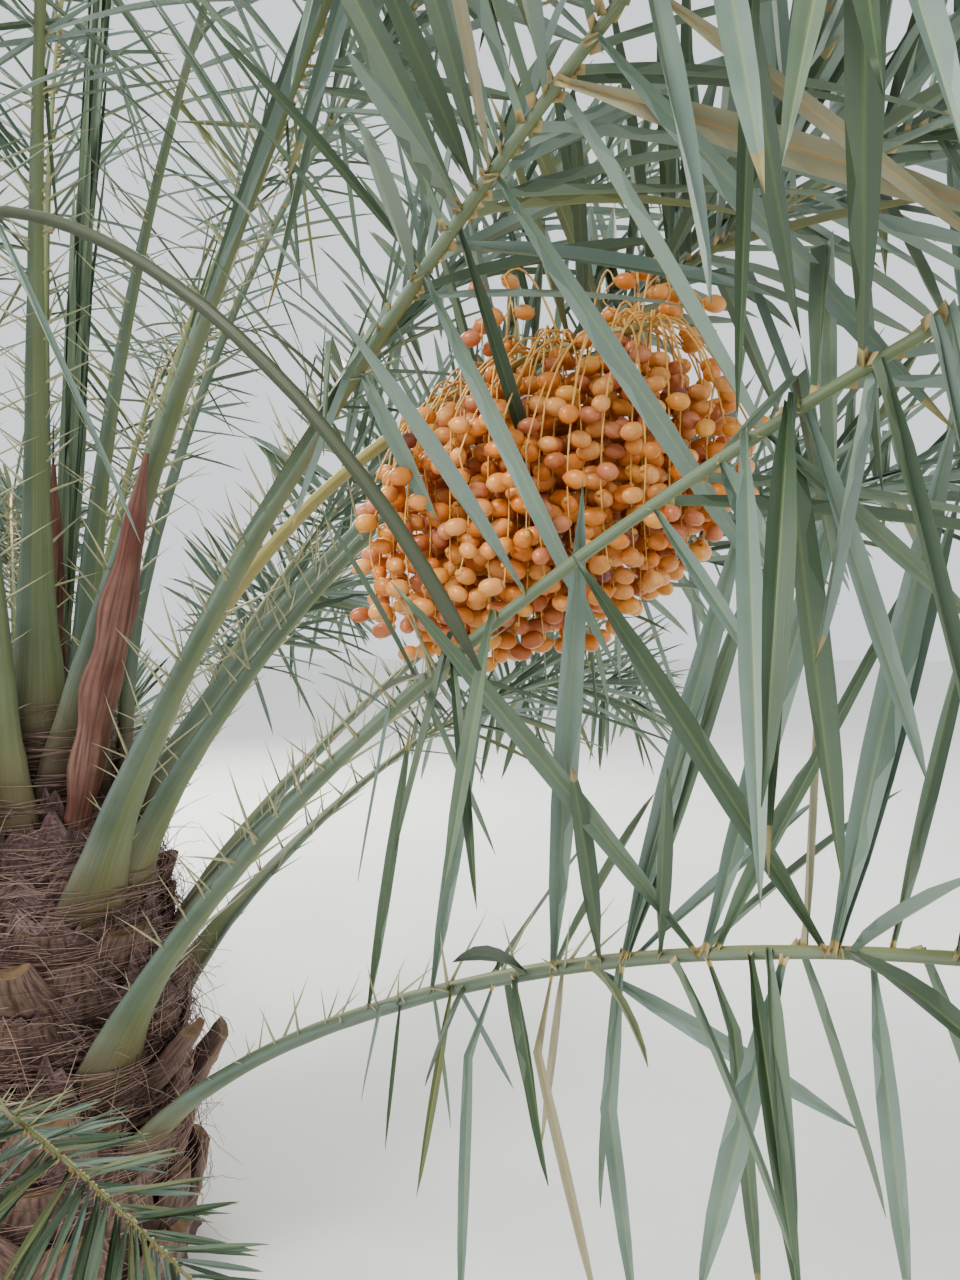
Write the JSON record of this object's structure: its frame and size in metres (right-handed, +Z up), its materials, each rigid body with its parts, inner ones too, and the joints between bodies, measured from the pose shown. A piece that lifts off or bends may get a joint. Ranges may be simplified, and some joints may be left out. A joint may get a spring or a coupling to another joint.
{
  "type": "young date palm",
  "caption": "Young date palm rooted in the ground: a short trunk clad in old leaf bases, arching feather fronds all round and a hanging bunch of ripening dates.",
  "frame": {"origin": "middle of the flat cut under the trunk, at ground level", "axes": "+Z up along the trunk, +X towards the side that carries the bunch of dates, -Y towards the viewer"},
  "size_m": [5.3784, 5.3769, 3.644],
  "materials": {
    "trunk_bark": "rough old leaf bases and brown fibre",
    "leaf_stalk": "smooth pale green stalks and ribs with yellow spines",
    "leaflets": "waxy grey green leaflets",
    "spear_leaf": "pale yellow green folded leaf",
    "dry_spathe": "dry woody sheath, reddish brown",
    "fruit_stalk": "smooth ochre yellow",
    "dates": "smooth apricot fruit on yellow strands"
  },
  "bodies": {
    "root": {"trunk": "trunk_bark", "spear": "spear_leaf", "dry_spathe_1": "dry_spathe", "dry_spathe_2": "dry_spathe", "fruit_stalk": "fruit_stalk", "date_strands_inner": "dates", "date_strands_middle": "dates", "date_strands_outer": "dates", "frond_01_stalk": "leaf_stalk", "frond_01_blade": "leaflets", "frond_02_stalk": "leaf_stalk", "frond_02_blade": "leaflets", "frond_03_stalk": "leaf_stalk", "frond_03_blade": "leaflets", "frond_04_stalk": "leaf_stalk", "frond_04_blade": "leaflets", "frond_05_stalk": "leaf_stalk", "frond_05_blade": "leaflets", "frond_06_stalk": "leaf_stalk", "frond_06_blade": "leaflets", "frond_07_stalk": "leaf_stalk", "frond_07_blade": "leaflets", "frond_08_stalk": "leaf_stalk", "frond_08_blade": "leaflets", "frond_09_stalk": "leaf_stalk", "frond_09_blade": "leaflets", "frond_10_stalk": "leaf_stalk", "frond_10_blade": "leaflets", "frond_11_stalk": "leaf_stalk", "frond_11_blade": "leaflets", "frond_12_stalk": "leaf_stalk", "frond_12_blade": "leaflets", "frond_13_stalk": "leaf_stalk", "frond_13_blade": "leaflets", "frond_14": "leaflets", "frond_15": "leaflets", "frond_16": "leaflets", "frond_17": "leaflets", "frond_18": "leaflets", "frond_19": "leaflets", "frond_20": "leaflets", "frond_21": "leaflets", "frond_22": "leaflets", "frond_23": "leaflets", "frond_24": "leaflets", "frond_25": "leaflets", "frond_26": "leaflets", "frond_27": "leaflets", "frond_28": "leaflets", "frond_29": "leaflets", "frond_30": "leaflets", "frond_31": "leaflets", "frond_32": "leaflets", "frond_33": "leaflets", "frond_34": "leaflets", "frond_35": "leaflets", "frond_36": "leaflets"}
  },
  "joints": []
}
